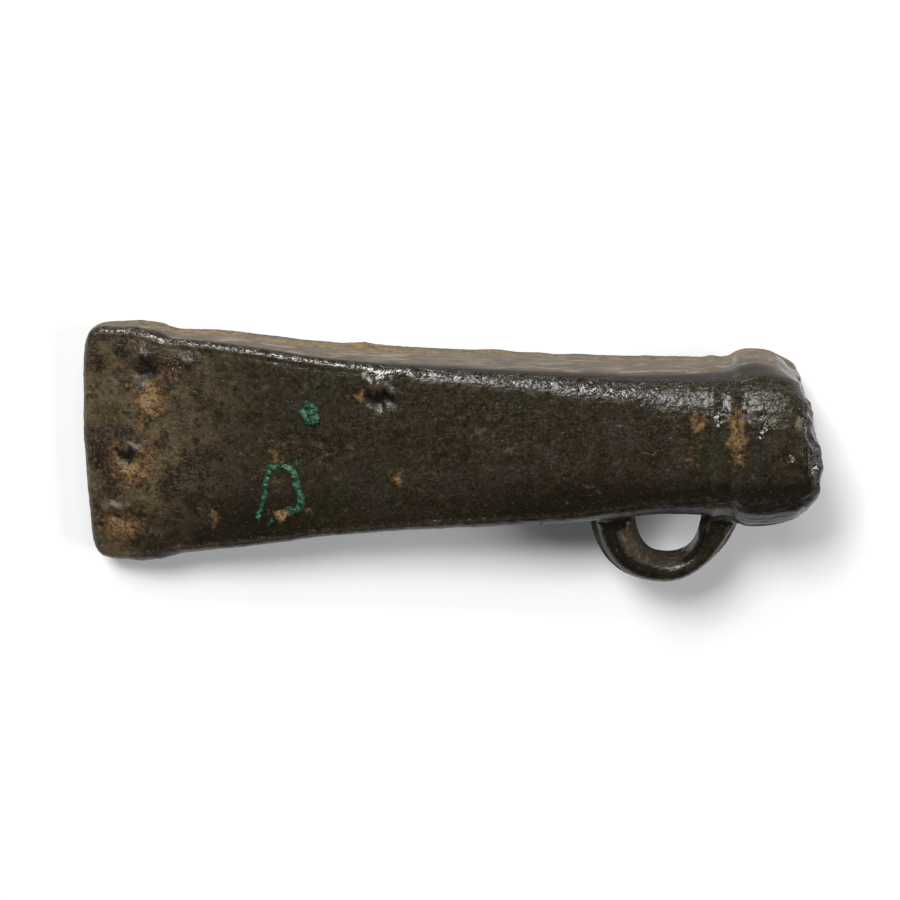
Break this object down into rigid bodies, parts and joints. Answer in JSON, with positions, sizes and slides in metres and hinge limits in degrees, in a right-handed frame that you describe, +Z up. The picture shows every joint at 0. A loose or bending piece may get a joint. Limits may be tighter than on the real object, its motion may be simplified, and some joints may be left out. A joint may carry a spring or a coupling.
{
  "type": "looped socketed axe head",
  "caption": "Bronze socketed axe head with a flared blade, hollow tapering body, collared mouth with a broken rim and a strap loop on one narrow side.",
  "frame": {"origin": "centre of the bounding box, on the surface that the axe lies on", "axes": "+X from the cutting edge to the socket's mouth, +Z up through the blade's thickness, the loop on the -Y side"},
  "size_m": [0.1114, 0.0408, 0.0235],
  "materials": {
    "bronze_blade": "worn dark brown patina over cast bronze, waxed, with fine ochre soil in its pits",
    "bronze_body": "dark olive-brown patina over cast bronze, smooth grey-brown on the narrow sides",
    "bronze_collar": "dark patina with ochre soil in the groove, cuprite red and pale green patches",
    "bronze_loop": "dark patina with ochre soil on the inner wall of the eye",
    "malachite_crust": "matt green copper-carbonate crust"
  },
  "bodies": {
    "root": {"blade": "bronze_blade", "socket_body": "bronze_body", "mouth_collar": "bronze_collar", "side_loop": "bronze_loop", "malachite_spot": "malachite_crust", "malachite_ring": "malachite_crust"}
  },
  "joints": []
}
